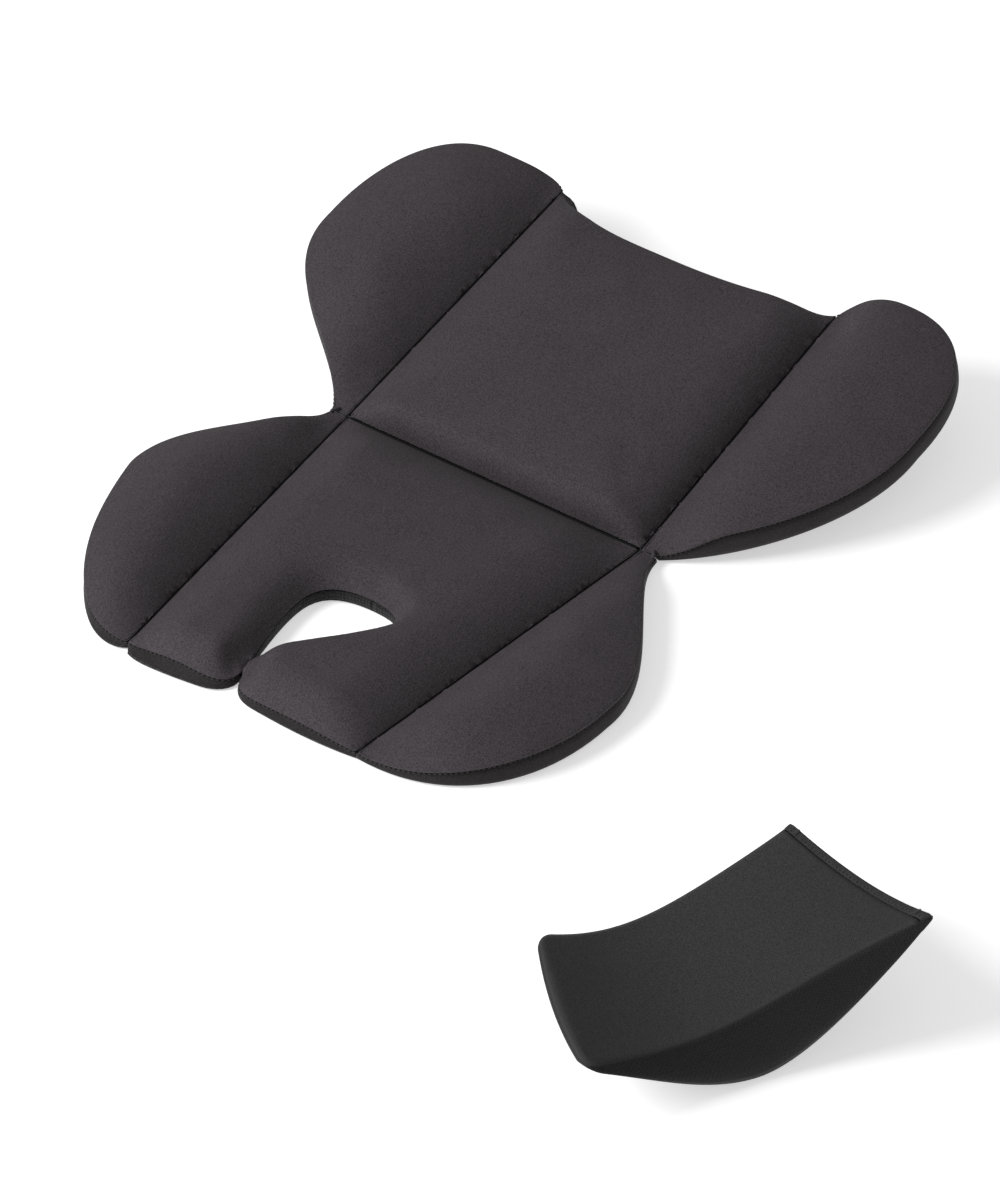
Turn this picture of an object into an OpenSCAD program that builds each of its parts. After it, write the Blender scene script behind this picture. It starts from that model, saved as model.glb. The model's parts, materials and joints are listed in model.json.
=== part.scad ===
// Newborn insert set for a child car seat: a butterfly-shaped padded inlay of
// six cells (back, seat, two shoulder wings, two hip wings) and a loose,
// covered foam wedge that goes under it.
// Millimetres. Seen from the front edge, +X is to the right, +Y points to the
// head end and +Z is up. The origin is on the seat cell's underside, midway
// between the waist seam and the crotch strap slot.

/* [Inlay plan] */
// Half width of the centre panels at the waist seam
waist_half_w = 119; // [105:1:122]
// Half width of the back panel at its head end
head_half_w = 113; // [100:1:120]
// Half width of the seat panel at its front edge
front_half_w = 91; // [80:1:100]
// Length of the back panel, from the waist seam to its head corners
back_len = 235; // [220:1:255]
// Length of the seat panel, from the waist seam to its front edge
seat_len = 269; // [255:1:285]
// How far the head edge dips between its two corners
head_edge_dip = 18; // [8:1:24]
// Half width across the two shoulder wings
shoulder_half_w = 234; // [220:1:245]
// Half width across the two hip wings
hip_half_w = 198; // [188:1:210]
// Half width of the inlay at its waist
neck_half_w = 127; // [124:1:134]

/* [Padding] */
// Height of the centre cells
centre_pad_h = 24; // [20:1:30]
// Height of the wing cells
wing_pad_h = 30; // [22:1:36]
// Height of the edge gusset
gusset_h = 16; // [10:1:17]
// Height of the sewn seams above the underside
seam_h = 5; // [4:0.5:7]
// Radius of a rolled seam
seam_r = 1.5; // [1:0.1:2]
// Thickness of the cover fabric
cover_t = 1.5; // [1:0.1:2]

/* [Crotch strap slot] */
// Distance from the waist seam to the slot's rear end
slot_rear = 145; // [140:1:154]
// Half width of the slot at its widest
slot_half_w = 34; // [24:1:36]
// Sideways shift of the slot's rear end
slot_shift = 7; // [-8:1:8]
// Sideways shift of the slit at the front edge
slit_shift = -12; // [-14:1:14]
// Half width of the slit at the front edge
slit_half_w = 1.5; // [1:0.5:3]
// Height of the mesh wall that lines the slot
slot_wall_h = 8; // [6:1:12]
// Thickness of the mesh wall that lines the slot
slot_wall_t = 1.2; // [0.8:0.1:1.5]

/* [Folds] */
// Angle of the back panel above the seat panel, as the inlay lies
back_tilt = 11.6; // [0:0.1:20]
// Largest angle of the back panel above the seat panel
back_fold_max = 51.6; // [40:0.1:60]
// Largest angle that a wing folds up
wing_fold_max = 50; // [30:1:55]

/* [Wedge] */
// Length of the wedge's long side
wedge_len = 224; // [205:1:250]
// Depth of the wedge, from its long side to its short side
wedge_depth = 127; // [110:1:145]
// Size of the short side's profile, as a share of the long side's
wedge_taper = 0.74; // [0.65:0.01:0.85]
// Height of the thin end
wedge_low_end_h = 54; // [50:1:60]
// Height of the end that carries the opening
wedge_high_end_h = 90; // [84:1:100]
// Thickness of the wedge at its two ends
wedge_end_t = 8; // [8:0.5:12]
// Width of the hem along the opening
hem_w = 9; // [7:0.5:12]
// Distance of the wedge's middle from the origin, to the side
wedge_x = 399; // [395:1:500]
// Distance of the wedge's middle from the origin, towards the front
wedge_y = 254; // [240:1:320]
// Turn of the wedge's long side from the inlay's width
wedge_turn = 59.7; // [50:0.1:75]

/* [Hidden] */

gap = 0.2;                  // between pieces that lie on each other
seam_clear = seam_r + 0.3;  // from a seam's axis to the cells beside it
seam_end_gap = 4;           // a seam stops this short of a corner
neck_clear = 3;             // extra room beside the waist for the folded wings
tape_t = 1.1;               // thickness of a hook or loop tape
tack_t = 0.6;               // how far a bar tack stands on the hem
tack_w = 2.5;               // width of a bar tack
tack_inset = 10;            // from the wedge's side to a bar tack
reach = 300;                // longer than any cell, for cutting
steps = 10;                 // straight pieces in each curve of an outline
$fn = 32;

cover_color = [0.24, 0.23, 0.23];
gusset_color = [0.20, 0.19, 0.19];
mesh_color = [0.16, 0.15, 0.16];
foam_color = [0.86, 0.86, 0.82];
seam_color = [0.10, 0.10, 0.10];
wedge_color = [0.22, 0.22, 0.22];
tape_color = [0.12, 0.12, 0.12];

// ---- curves ----

// Point at t of a cubic curve from a to d with handles b and c
function cubic(a, b, c, d, t) =
    let (s = 1 - t)
    s * s * s * a + 3 * s * s * t * b + 3 * s * t * t * c + t * t * t * d;

// Points of that curve from t = 0 to t = 1, without the last one
function curve(a, b, c, d) = [for (i = [0 : steps - 1]) cubic(a, b, c, d, i / steps)];

function unit(v) = v / norm(v);
function right_of(v) = [v[1], -v[0]];
function reversed(path) = [for (i = [len(path) - 1 : -1 : 0]) path[i]];
function mirrored(path) = [for (p = reversed(path)) [-p[0], p[1]]];
function without_first(path) = [for (i = [1 : len(path) - 1]) path[i]];

// Direction of an open path at its point i
function along(path, i) = unit(path[min(i + 1, len(path) - 1)] - path[max(i - 1, 0)]);

// An open path moved to its right by d
function shifted(path, d) = [for (i = [0 : len(path) - 1]) path[i] + d * right_of(along(path, i))];

// A band to the right of an open path, from d0 to d1 away from it
module band(path, d0, d1) {
    polygon(concat(shifted(path, d0), reversed(shifted(path, d1))));
}

// ---- outlines, measured from the middle of the waist seam; the padding is on
// ---- the right of each edge

waist_right = [waist_half_w, 0];
waist_left = [-waist_half_w, 0];
neck_point = [neck_half_w, 0];
head_corner = [head_half_w, back_len];
front_corner = [front_half_w, -seat_len];

// Head edge of the back panel, from its left corner to its right corner
head_middle = [0, back_len - head_edge_dip];
head_half = concat(
    curve(head_middle, head_middle + [50, 0], head_middle + [96, 4], head_corner),
    [head_corner]
);
head_edge = concat(mirrored(head_half), without_first(head_half));

// Outer edge of the right shoulder wing, from the head corner round to the neck
shoulder_top = [161, back_len + 15];
shoulder_side = [shoulder_half_w, 157];
shoulder_edge = concat(
    curve(head_corner, head_corner + [9, 12], shoulder_top - [21, 0], shoulder_top),
    curve(shoulder_top, shoulder_top + [45, 0], shoulder_side + [0, 55], shoulder_side),
    curve(shoulder_side, shoulder_side - [0, 45], [shoulder_half_w - 34, 52], neck_point),
    [neck_point]
);

// Outer edge of the right hip wing, from the neck round to the front corner
hip_side = [hip_half_w, -143];
hip_edge = concat(
    curve(neck_point, [hip_half_w - 37, -48], hip_side + [-1, 53], hip_side),
    curve(hip_side, hip_side - [0, 69], [hip_half_w - 48, -seat_len - 1], front_corner),
    [front_corner]
);

// Front edge of the seat panel's right half, from its corner to the slit, with
// the slit shifted sideways
slit_y = 16 - seat_len;
function front_path(shift) =
    let (mouth = [shift + slit_half_w, slit_y], bend = [shift + 22, 1 - seat_len])
    concat(
        [front_corner],
        curve(bend, bend - [14, 0], mouth - [0, 8], mouth),
        [mouth]
    );
right_front = front_path(slit_shift);
left_front = mirrored(front_path(-slit_shift));

// Right side of an upright slot, from the slit to its rear end
slit_top = [slit_half_w, slit_y];
slot_wide = [slot_half_w, -slot_rear - 24];
slot_end = [0, -slot_rear];
slot_half = concat(
    curve(slit_top, slit_top + [4, 14], slot_wide - [3, 24], slot_wide),
    curve(slot_wide, slot_wide + [2, 14], slot_end + [20, 0], slot_end),
    [slot_end]
);

// The slot leans: its rear end and its slit are shifted sideways by different amounts
function leaning(p) =
    let (rise = (p[1] - slit_y) / (-slot_rear - slit_y))
    [p[0] + slit_shift + rise * (slot_shift - slit_shift), p[1]];
slot_edge = [for (p = concat(slot_half, without_first(mirrored(slot_half)))) leaning(p)];
seat_edge = concat(right_front, without_first(slot_edge), without_first(left_front));

// ---- cells ----

// Takes away what lies on the right of the line a-b; above the height knee the
// cut leans over the line by lean degrees
module cut_beside(a, b, lean, knee, clear) {
    rise = 60;
    section = [
        [-reach, -5], [clear, -5], [clear, knee],
        [clear + rise * tan(lean), knee + rise], [-reach, knee + rise]
    ];
    translate([a[0], a[1], 0])
        rotate([0, 0, atan2(b[1] - a[1], b[0] - a[0])])
            translate([-reach, 0, 0])
                rotate([90, 0, 90])
                    linear_extrude(2 * reach)
                        polygon(section);
}

waist_lean = back_fold_max / 2;
wing_lean = wing_fold_max / 2;

// The cuts start to lean at slightly different heights, so that no more than
// three faces meet at a corner
waist_knee = seam_h;
wing_knee = seam_h - 0.6;
neck_knee = seam_h - 1.2;

// Beside the waist the shoulder and hip wings are cut back along a line that
// keeps them apart when both fold up over a folded back panel
neck_slope = tan(waist_lean) * sin(wing_fold_max);
neck_lean = atan(tan(waist_lean) * cos(atan(neck_slope)));

module back_room(inset, z0, z1, clear) {
    difference() {
        translate([0, 0, z0])
            linear_extrude(z1 - z0)
                polygon(concat(shifted(head_edge, inset), [waist_right, waist_left]));
        back_cuts(clear);
    }
}

module back_cuts(clear) {
    cut_beside(waist_left, waist_right, waist_lean, waist_knee, clear);
    cut_beside(waist_right, head_corner, wing_lean, wing_knee, clear);
    mirror([1, 0, 0]) cut_beside(waist_right, head_corner, wing_lean, wing_knee, clear);
}

module seat_room(inset, z0, z1, clear) {
    difference() {
        translate([0, 0, z0])
            linear_extrude(z1 - z0)
                polygon(concat(shifted(seat_edge, inset), [waist_left, waist_right]));
        seat_cuts(clear);
    }
}

module seat_cuts(clear) {
    cut_beside(waist_right, waist_left, waist_lean, waist_knee, clear);
    cut_beside(front_corner, waist_right, wing_lean, wing_knee, clear);
    mirror([1, 0, 0]) cut_beside(front_corner, waist_right, wing_lean, wing_knee, clear);
}

module shoulder_room(inset, z0, z1, clear) {
    difference() {
        translate([0, 0, z0])
            linear_extrude(z1 - z0)
                polygon(concat(shifted(shoulder_edge, inset), [waist_right]));
        shoulder_cuts(clear);
    }
}

module shoulder_cuts(clear) {
    cut_beside(head_corner, waist_right, wing_lean, wing_knee, clear);
    cut_beside(waist_right, waist_right + [1, neck_slope], neck_lean, neck_knee, clear + neck_clear);
}

module hip_room(inset, z0, z1, clear) {
    difference() {
        translate([0, 0, z0])
            linear_extrude(z1 - z0)
                polygon(concat(shifted(hip_edge, inset), [waist_right]));
        hip_cuts(clear);
    }
}

module hip_cuts(clear) {
    cut_beside(waist_right, front_corner, wing_lean, wing_knee, clear);
    cut_beside(waist_right + [1, -neck_slope], waist_right, neck_lean, neck_knee, clear + neck_clear);
}

// Heights and clearances that every cell shares
floor_z = cover_t + gap;             // top of the underside fabric, with its gap
core_clear = seam_clear + cover_t;   // from a seam's axis to the inside of a cover

// The strip where an edge band stands, with its gap, for cutting a cover
module band_strip(edge, height) {
    translate([0, 0, -1])
        linear_extrude(height + gap + 1)
            band(edge, -1, cover_t + gap);
}

// An edge band that stands on the underside
module band_wall(edge, height, thickness) {
    translate([0, 0, floor_z])
        linear_extrude(height - floor_z)
            band(edge, 0, thickness);
}

// The back panel lies tilted up about the waist seam
module on_back() {
    translate([0, slot_rear / 2, seam_h])
        rotate([back_tilt, 0, 0])
            translate([0, 0, -seam_h])
                children();
}

module on_seat() {
    translate([0, slot_rear / 2, 0]) children();
}

module on_left() {
    mirror([1, 0, 0]) children();
}

// ---- back panel ----

module back_top_cover() {
    color(cover_color) on_back() difference() {
        back_room(0, floor_z, centre_pad_h, seam_clear);
        back_room(cover_t, -1, centre_pad_h - cover_t, core_clear);
        band_strip(head_edge, gusset_h);
    }
}

module back_foam() {
    color(foam_color) on_back()
        back_room(cover_t + gap, floor_z, centre_pad_h - cover_t - gap, core_clear + gap);
}

module back_underside() {
    color(mesh_color) on_back() back_room(0, 0, cover_t, seam_clear);
}

module back_head_gusset() {
    color(gusset_color) on_back() difference() {
        band_wall(head_edge, gusset_h, cover_t);
        back_cuts(seam_clear);
    }
}

// ---- seat panel ----

module seat_top_cover() {
    color(cover_color) on_seat() difference() {
        seat_room(0, floor_z, centre_pad_h, seam_clear);
        seat_room(cover_t, -1, centre_pad_h - cover_t, core_clear);
        band_strip(right_front, gusset_h);
        band_strip(left_front, gusset_h);
        band_strip(slot_edge, slot_wall_h);
    }
}

module seat_foam() {
    color(foam_color) on_seat()
        seat_room(cover_t + gap, floor_z, centre_pad_h - cover_t - gap, core_clear + gap);
}

module seat_underside() {
    color(mesh_color) on_seat() seat_room(0, 0, cover_t, seam_clear);
}

module seat_front_gusset() {
    color(gusset_color) on_seat() difference() {
        union() {
            band_wall(right_front, gusset_h, cover_t);
            band_wall(left_front, gusset_h, cover_t);
        }
        seat_cuts(seam_clear);
    }
}

// The wall starts one step in from the slit, clear of the front gusset
module slot_wall() {
    inner_edge = [for (i = [1 : len(slot_edge) - 2]) slot_edge[i]];
    color(mesh_color) on_seat() band_wall(inner_edge, slot_wall_h, slot_wall_t);
}

// ---- shoulder wings, drawn on the right ----

module shoulder_top_cover() {
    color(cover_color) on_back() difference() {
        shoulder_room(0, floor_z, wing_pad_h, seam_clear);
        shoulder_room(cover_t, -1, wing_pad_h - cover_t, core_clear);
        band_strip(shoulder_edge, gusset_h);
    }
}

module shoulder_foam() {
    color(foam_color) on_back()
        shoulder_room(cover_t + gap, floor_z, wing_pad_h - cover_t - gap, core_clear + gap);
}

module shoulder_underside() {
    color(mesh_color) on_back() shoulder_room(0, 0, cover_t, seam_clear);
}

module shoulder_gusset() {
    color(gusset_color) on_back() difference() {
        band_wall(shoulder_edge, gusset_h, cover_t);
        shoulder_cuts(seam_clear);
    }
}

module right_shoulder_top_cover() { shoulder_top_cover(); }
module right_shoulder_foam() { shoulder_foam(); }
module right_shoulder_underside() { shoulder_underside(); }
module right_shoulder_gusset() { shoulder_gusset(); }
module left_shoulder_top_cover() { on_left() shoulder_top_cover(); }
module left_shoulder_foam() { on_left() shoulder_foam(); }
module left_shoulder_underside() { on_left() shoulder_underside(); }
module left_shoulder_gusset() { on_left() shoulder_gusset(); }

// ---- hip wings, drawn on the right ----

module hip_top_cover() {
    color(cover_color) on_seat() difference() {
        hip_room(0, floor_z, wing_pad_h, seam_clear);
        hip_room(cover_t, -1, wing_pad_h - cover_t, core_clear);
        band_strip(hip_edge, gusset_h);
    }
}

module hip_foam() {
    color(foam_color) on_seat()
        hip_room(cover_t + gap, floor_z, wing_pad_h - cover_t - gap, core_clear + gap);
}

module hip_underside() {
    color(mesh_color) on_seat() hip_room(0, 0, cover_t, seam_clear);
}

module hip_gusset() {
    color(gusset_color) on_seat() difference() {
        band_wall(hip_edge, gusset_h, cover_t);
        hip_cuts(seam_clear);
    }
}

module right_hip_top_cover() { hip_top_cover(); }
module right_hip_foam() { hip_foam(); }
module right_hip_underside() { hip_underside(); }
module right_hip_gusset() { hip_gusset(); }
module left_hip_top_cover() { on_left() hip_top_cover(); }
module left_hip_foam() { on_left() hip_foam(); }
module left_hip_underside() { on_left() hip_underside(); }
module left_hip_gusset() { on_left() hip_gusset(); }

// ---- seams: rolled seam allowances on the fold lines ----

// A round seam from a to b at the seam height, short of both ends
module rolled_seam(a, b) {
    direction = unit(b - a);
    start = a + seam_end_gap * direction;
    color(seam_color)
        translate([start[0], start[1], seam_h])
            rotate([0, 90, atan2(direction[1], direction[0])])
                cylinder(h = norm(b - a) - 2 * seam_end_gap, r = seam_r);
}

module waist_seam() { on_seat() rolled_seam(waist_left, waist_right); }
module right_shoulder_seam() { on_back() rolled_seam(waist_right, head_corner); }
module left_shoulder_seam() { on_left() right_shoulder_seam(); }
module right_hip_seam() { on_seat() rolled_seam(waist_right, front_corner); }
module left_hip_seam() { on_left() right_hip_seam(); }

// ---- wedge: its profile is drawn along its length and shrinks towards its
// ---- short side; it rests on its belly, below the profile's origin

wedge_half = wedge_len / 2;
low_top = [-wedge_half, wedge_low_end_h];
high_top = [wedge_half, wedge_high_end_h];
low_bottom = low_top - [0, wedge_end_t];
high_bottom = high_top - [0, wedge_end_t];
belly = [0, 0];
top_handle_low = [-0.51 * wedge_half, wedge_low_end_h - 18];
top_handle_high = [0.12 * wedge_half, wedge_low_end_h - 32];
bottom_handle_high = [0.6 * wedge_half, 43];

// The hem takes the last stretch of both faces at the high end
top_end_dir = unit(high_top - top_handle_high);
bottom_end_dir = unit(high_bottom - bottom_handle_high);
top_hem_start = high_top - hem_w * top_end_dir;
bottom_hem_start = high_bottom - hem_w * bottom_end_dir;

wedge_top_line = concat(
    curve(low_top, top_handle_low, top_handle_high, top_hem_start - gap * top_end_dir),
    [top_hem_start - gap * top_end_dir]
);
wedge_bottom_line = concat(
    curve(
        bottom_hem_start - gap * bottom_end_dir, bottom_handle_high,
        [0.24 * wedge_half, 0], belly
    ),
    curve(belly, [-0.28 * wedge_half, 0], [-0.6 * wedge_half, 35], low_bottom),
    [low_bottom]
);
wedge_outline = concat(
    wedge_top_line, [high_top, high_bottom], wedge_bottom_line
);

module place_wedge() {
    translate([wedge_x, -wedge_y, 0]) rotate([0, 0, wedge_turn]) children();
}

// The children's profile carried from the long side to the short side
module along_wedge() {
    translate([0, -wedge_depth / 2, 0])
        rotate([-90, 0, 0])
            mirror([0, 1, 0])
                linear_extrude(wedge_depth, scale = wedge_taper)
                    children();
}

// The flap of top fabric that closes the thin end
module low_end_flap(grow) {
    translate([low_top[0] - 1, 0]) square([1 + cover_t + grow, wedge_low_end_h]);
}

// The room behind the hem, where the foam stops
module hem_room() {
    translate([wedge_half - hem_w - gap, 0]) square([2 * hem_w, wedge_high_end_h]);
}

module wedge_foam() {
    color(foam_color) place_wedge() along_wedge() difference() {
        polygon(concat(
            shifted(wedge_top_line, cover_t + gap), shifted(wedge_bottom_line, cover_t + gap)
        ));
        low_end_flap(gap);
        hem_room();
    }
}

module wedge_top_cover() {
    color(wedge_color) place_wedge() along_wedge() union() {
        band(wedge_top_line, 0, cover_t);
        intersection() {
            polygon(wedge_outline);
            low_end_flap(0);
        }
    }
}

module wedge_underside_cover() {
    color(wedge_color) place_wedge() along_wedge() difference() {
        band(wedge_bottom_line, 0, cover_t);
        low_end_flap(gap);
    }
}

module side_panel() {
    rotate([-90, 0, 0]) mirror([0, 1, 0]) linear_extrude(cover_t) polygon(wedge_outline);
}

module wedge_near_side_panel() {
    color(mesh_color) place_wedge()
        translate([0, -wedge_depth / 2 - cover_t - gap, 0])
            side_panel();
}

module wedge_far_side_panel() {
    color(mesh_color) place_wedge()
        translate([0, wedge_depth / 2 + gap, 0])
            scale([wedge_taper, 1, wedge_taper])
                side_panel();
}

top_hem_line = [top_hem_start, high_top];
bottom_hem_line = [high_bottom, bottom_hem_start];

module wedge_opening_hem() {
    color(wedge_color) place_wedge() along_wedge() {
        band(top_hem_line, 0, cover_t);
        band(bottom_hem_line, 0, cover_t);
    }
}

module wedge_hook_tape() {
    color(tape_color) place_wedge() along_wedge()
        band(top_hem_line, cover_t + gap, cover_t + gap + tape_t);
}

module wedge_loop_tape() {
    color(tape_color) place_wedge() along_wedge()
        band(bottom_hem_line, cover_t + gap, cover_t + gap + tape_t);
}

module wedge_bar_tacks() {
    color(seam_color) place_wedge() intersection() {
        along_wedge() band(top_hem_line, -gap - tack_t, -gap);
        for (side = [-1, 1])
            translate([0, side * (wedge_depth / 2 - tack_inset) - tack_w / 2, 0])
                cube([wedge_len, tack_w, 2 * wedge_high_end_h]);
    }
}

back_top_cover();
back_foam();
back_underside();
back_head_gusset();
seat_top_cover();
seat_foam();
seat_underside();
seat_front_gusset();
slot_wall();
left_shoulder_top_cover();
left_shoulder_foam();
left_shoulder_underside();
left_shoulder_gusset();
right_shoulder_top_cover();
right_shoulder_foam();
right_shoulder_underside();
right_shoulder_gusset();
left_hip_top_cover();
left_hip_foam();
left_hip_underside();
left_hip_gusset();
right_hip_top_cover();
right_hip_foam();
right_hip_underside();
right_hip_gusset();
waist_seam();
left_shoulder_seam();
right_shoulder_seam();
left_hip_seam();
right_hip_seam();
wedge_foam();
wedge_top_cover();
wedge_underside_cover();
wedge_near_side_panel();
wedge_far_side_panel();
wedge_opening_hem();
wedge_hook_tape();
wedge_loop_tape();
wedge_bar_tacks();
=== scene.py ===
import json
import math

import bpy
import numpy as np
from mathutils import Matrix, Vector
from mathutils.geometry import delaunay_2d_cdt


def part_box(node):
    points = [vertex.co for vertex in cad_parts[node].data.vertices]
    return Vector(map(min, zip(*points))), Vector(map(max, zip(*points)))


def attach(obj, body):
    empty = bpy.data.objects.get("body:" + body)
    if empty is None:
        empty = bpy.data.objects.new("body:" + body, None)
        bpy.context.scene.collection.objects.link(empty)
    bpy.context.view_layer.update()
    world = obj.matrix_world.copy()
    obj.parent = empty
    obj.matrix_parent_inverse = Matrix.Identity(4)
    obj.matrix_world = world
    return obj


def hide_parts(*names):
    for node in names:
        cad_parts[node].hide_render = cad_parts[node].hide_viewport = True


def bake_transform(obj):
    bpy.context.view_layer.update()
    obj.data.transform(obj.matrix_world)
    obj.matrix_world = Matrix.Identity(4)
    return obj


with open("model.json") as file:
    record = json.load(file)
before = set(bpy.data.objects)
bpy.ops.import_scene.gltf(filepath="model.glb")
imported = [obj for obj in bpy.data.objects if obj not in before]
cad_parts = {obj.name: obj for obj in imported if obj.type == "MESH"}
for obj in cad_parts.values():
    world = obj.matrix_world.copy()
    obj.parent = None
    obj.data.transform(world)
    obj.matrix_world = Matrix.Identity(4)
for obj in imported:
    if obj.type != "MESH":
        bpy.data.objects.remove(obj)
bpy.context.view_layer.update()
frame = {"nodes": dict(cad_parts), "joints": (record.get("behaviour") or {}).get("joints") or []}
joints = {joint["name"]: joint for joint in frame["joints"]}
MM = 0.001

# ---- the inlay's size and place, from the frame ----
# A panel's own coordinates are x across, y along the panel from the waist seam
# (y is negative on the seat panel) and z above its underside.

WAIST = Vector(joints["back_fold"]["pos_m"])
BACK_TILT = -math.radians(joints["back_fold"]["range_deg"][0])
SEAM_H = WAIST.z
SEAM_END_GAP = 4 * MM  # from the waist seam's end to the cells' corner
WAIST_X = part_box("waist_seam")[1].x + SEAM_END_GAP
NECK_X = WAIST_X + 13 * MM  # the notch between a shoulder wing and a hip wing
SHOULDER_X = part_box("right_shoulder_underside")[1].x
HIP_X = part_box("right_hip_underside")[1].x
BAND_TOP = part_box("right_hip_gusset")[1].z
WALL_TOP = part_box("slot_wall")[1].z
CENTRE_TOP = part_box("seat_top_cover")[1].z
WING_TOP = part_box("right_hip_top_cover")[1].z


def panel_matrix(panel):
    """From a panel's own coordinates to the row frame."""
    to_waist = Matrix.Translation((0, WAIST.y, 0))
    if panel == "seat":
        return to_waist
    axis = Matrix.Translation((0, 0, SEAM_H))
    return to_waist @ axis @ Matrix.Rotation(BACK_TILT, 4, "X") @ axis.inverted()


def seam_far_end(joint, panel):
    """The end of a wing's seam away from the waist: its joint sits at the middle."""
    middle = panel_matrix(panel).inverted() @ Vector(joints[joint]["pos_m"])
    return np.array([2 * middle.x - WAIST_X, 2 * middle.y])


WAIST_CORNER = np.array([WAIST_X, 0.0])
NECK_GAP = 1 * MM  # room for the wings to fold past each other
HEAD_CORNER = seam_far_end("right_shoulder_fold", "back")
FRONT_CORNER = seam_far_end("right_hip_fold", "seat")
BACK_LEN = HEAD_CORNER[1]
SEAT_LEN = -FRONT_CORNER[1]

# ---- outlines in a panel's own coordinates ----


def point(x, y):
    """A plan point given in millimetres."""
    return np.array([x * MM, y * MM])


def cubic(a, b, c, d, count=24):
    """Points of a cubic curve from a to d with handles b and c, both ends included."""
    t = np.linspace(0, 1, count + 1)[:, None]
    s = 1 - t
    return s**3 * a + 3 * s**2 * t * b + 3 * s * t**2 * c + t**3 * d


def joined(*paths):
    """Paths end to end, without the points they share."""
    return np.vstack([paths[0]] + [path[1:] for path in paths[1:]])


def mirrored(path):
    """A path on the other side of the middle line, walked the other way."""
    return path[::-1] * [-1, 1]


def unit(rows):
    """Each row's direction, with length 1."""
    return rows / np.linalg.norm(rows, axis=1)[:, None]


def resampled(path, step):
    """The same path with points about step apart along it."""
    lengths = np.linalg.norm(np.diff(path, axis=0), axis=1)
    at = np.concatenate([[0], np.cumsum(lengths)])
    count = max(2, round(at[-1] / step))
    wanted = np.linspace(0, at[-1], count + 1)
    return np.column_stack([np.interp(wanted, at, path[:, k]) for k in range(path.shape[1])])


# The soft inlay doesn't lie quite evenly: plan offsets of the outline's control
# points on each side, in millimetres outward and towards the head (none if not named)
DRAPE = {
    "right": {
        "head_corner": (2, 0), "head": (2, 0), "shoulder_corner": (0, 7), "shoulder_top": (2, 3),
        "shoulder_high": (4, 6), "shoulder_side": (-4, 0), "shoulder_low": (3, -6),
        "shoulder_neck": (3, -3), "hip_low": (13, -5), "hip_side": (3, -10),
        "hip_high": (6, 2), "hip_neck": (-16, 7),
    },
    "left": {
        "head_corner": (0, 6), "head": (-11, -16), "shoulder_corner": (0, -1), "shoulder_top": (0, -9),
        "crown": (9, 3), "shoulder_high": (1, -11), "shoulder_side": (-2, -18),
        "shoulder_low": (6, -8), "shoulder_neck": (-20, 18), "hip_low": (-6, -6),
        "hip_under": (-15, 3), "hip_side": (-4, 9), "hip_high": (4, 4), "hip_neck": (-15, -8),
    },
}


def drape(side, name):
    return point(*DRAPE[side].get(name, (0, 0)))


def head_corner(side):
    """The head end of a shoulder seam, drawn on the right."""
    return HEAD_CORNER + drape(side, "head_corner")


def head_edge():
    """Head edge of the back panel, from its right corner to its left corner."""
    middle = np.array([0, BACK_LEN - 21.5 * MM])
    halves = {}
    for side in ("right", "left"):
        corner = head_corner(side)
        handle = corner - point(17, 14) + drape(side, "head")
        halves[side] = cubic(corner, handle, middle + point(50, 0), middle)
    return joined(halves["right"], mirrored(halves["left"]))


def shoulder_edge(side):
    """Outer edge of a shoulder wing, drawn on the right, from the neck to the head corner."""
    neck = np.array([NECK_X, NECK_GAP])
    neck_handle = np.array([SHOULDER_X - 59 * MM, 30 * MM]) + drape(side, "shoulder_neck")
    widest = np.array([SHOULDER_X, 157 * MM]) + drape(side, "shoulder_side")
    top = np.array([161 * MM, BACK_LEN + 15 * MM]) + drape(side, "shoulder_top")
    corner = head_corner(side)
    corner_handle = corner + point(9, 12) + drape(side, "shoulder_corner")
    low_handle = widest - point(0, 57) + drape(side, "shoulder_low")
    high_handle = widest + point(0, 55) + drape(side, "shoulder_high")
    crown_handle = top + point(45, 0) + drape(side, "crown")
    return joined(
        cubic(neck, neck_handle, low_handle, widest),
        cubic(widest, high_handle, crown_handle, top),
        cubic(top, top - point(21, 0), corner_handle, corner),
    )


def hip_edge(side):
    """Outer edge of a hip wing, drawn on the right, from the front corner to the neck."""
    neck = np.array([NECK_X, -NECK_GAP])
    widest = np.array([HIP_X, -143 * MM]) + drape(side, "hip_side")
    low_handle = np.array([HIP_X - 48 * MM, -SEAT_LEN - 1 * MM]) + drape(side, "hip_low")
    neck_handle = np.array([HIP_X - 48 * MM, -48 * MM]) + drape(side, "hip_neck")
    return joined(
        cubic(FRONT_CORNER, low_handle, widest - point(0, 69) + drape(side, "hip_under"), widest),
        cubic(widest, widest + point(-1, 53) + drape(side, "hip_high"), neck_handle, neck),
    )


# The slot is open at the front edge: a slit leads into it, and it leans
SLIT_HALF_W = 1.5 * MM
SLIT_X = -12 * MM  # where the slit is at the front
SLIT_Y = 16 * MM - SEAT_LEN  # where it opens into the slot
SLOT_REAR_Y = -2 * WAIST.y - 3 * MM
SLOT_X = 13.5 * MM  # the slot's middle at its rear
SLOT_HALF_W = 32 * MM
SLOT_SWELL = 17 * MM  # how far the right half's padding swells into it


def front_half(slit_x):
    """Front edge of the seat panel's right half, from the slit to the front corner."""
    mouth = np.array([slit_x + SLIT_HALF_W, SLIT_Y])
    bend = np.array([slit_x + 22 * MM, 1 * MM - SEAT_LEN])
    corner = cubic(mouth, mouth - point(0, 8), bend - point(14, 0), bend)
    return joined(corner, np.array([bend, FRONT_CORNER]))


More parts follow.
